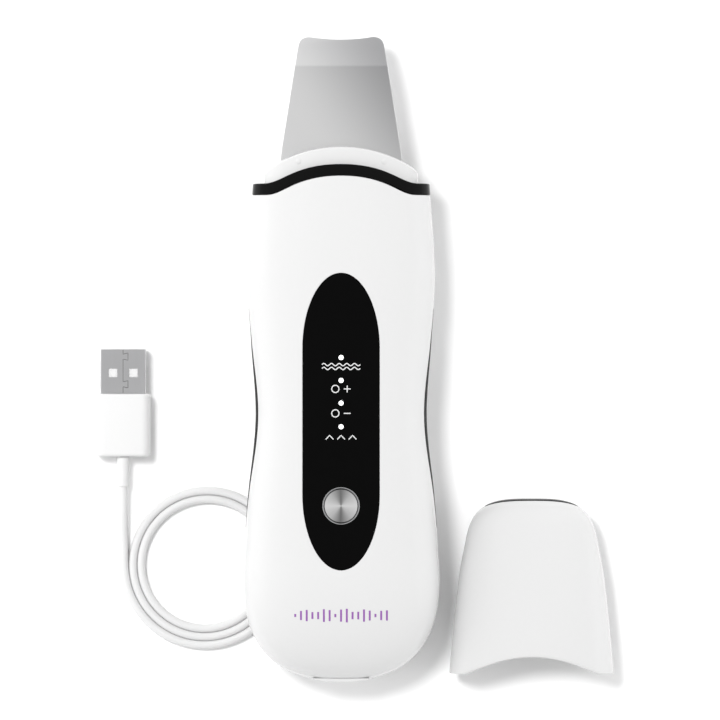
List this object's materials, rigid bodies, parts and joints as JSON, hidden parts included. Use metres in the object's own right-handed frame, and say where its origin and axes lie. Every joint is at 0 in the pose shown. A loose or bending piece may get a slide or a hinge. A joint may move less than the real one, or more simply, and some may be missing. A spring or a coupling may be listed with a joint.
{
  "type": "skin scrubber",
  "caption": "Hand-held ultrasonic facial spatula with a waisted white body, dark oval control panel, steel blade, lift-off blade cap and a coiled charging lead.",
  "frame": {"origin": "on the flat of the back, below the middle of the waist, on the centre line", "axes": "+Y along the handset from the chin to the blade, +X to the right of the control panel, +Z out of the panel, away from the surface it lies on"},
  "size_m": [0.1366, 0.1697, 0.0257],
  "materials": {
    "white_shell": "glossy",
    "black_gloss": "glossy",
    "blade_steel": "fine brushed, near mirror",
    "silicone": "satin",
    "inner_plastic": "moulded",
    "screw_steel": "machined",
    "ceramic": "fired ceramic with silvered faces",
    "adhesive": "film",
    "lamp_white": "clear window, lit white",
    "foam": "closed-cell foam",
    "button_steel": "turned, spun highlight",
    "board": "solder mask",
    "chip": "moulded",
    "capacitor": "sleeved can",
    "ferrite": "fired ferrite",
    "copper": "enamelled copper wire",
    "battery_foil": "laminated foil pouch",
    "wire": "insulated",
    "electrode": "conductive, dark metallic",
    "cord": "soft jacket",
    "plug_metal": "plated",
    "plug_insulator": "moulded",
    "contact_gold": "gold plated",
    "plug_plastic": "soft moulded"
  },
  "bodies": {
    "handset": {"front_shell": "white_shell", "rear_shell": "white_shell", "shoulder_band": "black_gloss", "nose_collar": "white_shell", "spatula_blade": "blade_steel", "blade_gasket": "silicone", "blade_clamp": "inner_plastic", "clamp_screws": "screw_steel", "piezo_discs": "ceramic", "control_panel": "black_gloss", "panel_adhesive": "adhesive", "light_guides": "lamp_white", "status_leds": "lamp_white", "light_shield": "foam", "button_ring": "button_steel", "switch_body": "inner_plastic", "main_board": "board", "board_screws": "screw_steel", "case_screws": "screw_steel", "controller_chip": "chip", "capacitors": "capacitor", "drive_transformer": "ferrite", "transformer_winding": "copper", "battery_cell": "battery_foil", "battery_foam": "foam", "charge_board": "board", "charger_chip": "chip", "usb_socket": "plug_metal", "drive_wires": "wire", "battery_wires": "wire", "side_electrode_left": "electrode", "side_electrode_right": "electrode"},
    "button": {"button_cap": "button_steel"},
    "plunger": {"switch_plunger": "inner_plastic"},
    "port_flap": {"port_cover": "silicone"},
    "blade_cap": {"cap_shell": "white_shell", "cap_top_strip": "black_gloss"},
    "charging_lead": {"cord_coil": "cord", "cord_lead": "cord", "cord_tail": "cord", "usb_plug_shell": "plug_metal", "usb_plug_tongue": "plug_insulator", "usb_plug_contacts": "contact_gold", "usb_plug_overmould": "plug_plastic", "usb_plug_relief": "plug_plastic", "micro_plug_relief": "plug_plastic", "micro_plug_overmould": "plug_plastic", "micro_plug_shell": "plug_metal"}
  },
  "joints": [
    {"name": "button_press", "type": "slide", "parent": "handset", "child": "button", "axis": [0, 0, -1], "range_m": [0, 0.00035], "stiffness_N_per_m": 2000, "springref_m": -0.0001},
    {"name": "plunger_press", "type": "slide", "parent": "handset", "child": "plunger", "axis": [0, 0, -1], "range_m": [0, 0.00035]},
    {"name": "port_cover_hinge", "type": "hinge", "parent": "handset", "child": "port_flap", "pos_m": [0, -0.06875, 0.0113], "axis": [1, 0, 0], "range_deg": [0, 110]},
    {"name": "cap_lift", "type": "slide", "parent": "handset", "child": "blade_cap", "axis": [0, 0, 1], "range_m": [0, 0.08]},
    {"name": "lead_slide", "type": "slide", "parent": "handset", "child": "charging_lead", "axis": [-1, 0, 0], "range_m": [0, 0.06]}
  ],
  "couplings": [
    {"joint": "plunger_press", "follows": "button_press", "ratio": 1}
  ]
}
